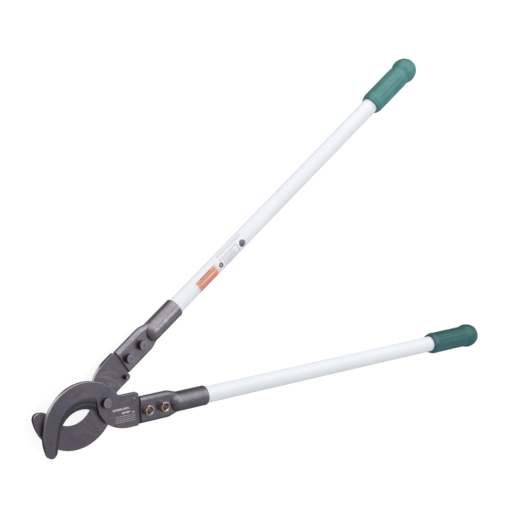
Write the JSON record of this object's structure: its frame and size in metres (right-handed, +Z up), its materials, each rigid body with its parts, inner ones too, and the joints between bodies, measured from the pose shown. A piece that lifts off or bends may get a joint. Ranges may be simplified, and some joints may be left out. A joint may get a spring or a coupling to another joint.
{
  "type": "long-handled cable cutter",
  "caption": "Two-hand cable cutter with hooked shear blades on a pivot bolt, flattened steel sockets, white tube handles and green grips.",
  "frame": {"origin": "on the pivot axis, at the lower end face of the pivot bolt, which rests on the table", "axes": "+X from the pivot along the bisector of the two handles, towards the grips; +Y towards the rear handle; +Z up out of the table, along the pivot axis"},
  "size_m": [0.7628, 0.4758, 0.0419],
  "materials": {
    "blade": "dark forged steel, ground on the bevels",
    "socket": "dark swaged steel tube",
    "handle_tube": "white gloss enamel",
    "grip": "matt green moulded rubber",
    "dark_fastener": "blackened steel",
    "zinc_fastener": "yellow zinc plate",
    "orange_label": "orange printed film",
    "white_label": "white printed film"
  },
  "bodies": {
    "rear_half": {"rear_blade": "blade", "rear_stop_pin": "dark_fastener", "rear_socket": "socket", "rear_handle_tube": "handle_tube", "rear_grip": "grip", "rear_socket_bolt_inner": "dark_fastener", "rear_lock_washer_inner": "zinc_fastener", "rear_socket_nut_inner": "zinc_fastener", "rear_socket_bolt_outer": "dark_fastener", "rear_lock_washer_outer": "zinc_fastener", "rear_socket_nut_outer": "zinc_fastener", "pivot_bolt": "dark_fastener", "pivot_washer": "dark_fastener", "pivot_nut": "dark_fastener", "orange_label": "orange_label", "white_label": "white_label"},
    "front_half": {"front_blade": "blade", "front_stop_pin": "dark_fastener", "front_socket": "socket", "front_handle_tube": "handle_tube", "front_grip": "grip", "front_socket_bolt_inner": "dark_fastener", "front_lock_washer_inner": "zinc_fastener", "front_socket_nut_inner": "zinc_fastener", "front_socket_bolt_outer": "dark_fastener", "front_lock_washer_outer": "zinc_fastener", "front_socket_nut_outer": "zinc_fastener"}
  },
  "joints": [
    {"name": "blade_pivot", "type": "hinge", "parent": "rear_half", "child": "front_half", "pos_m": [0, 0, 0.02095], "axis": [0, 0, 1], "range_deg": [-75, 26.9]}
  ]
}
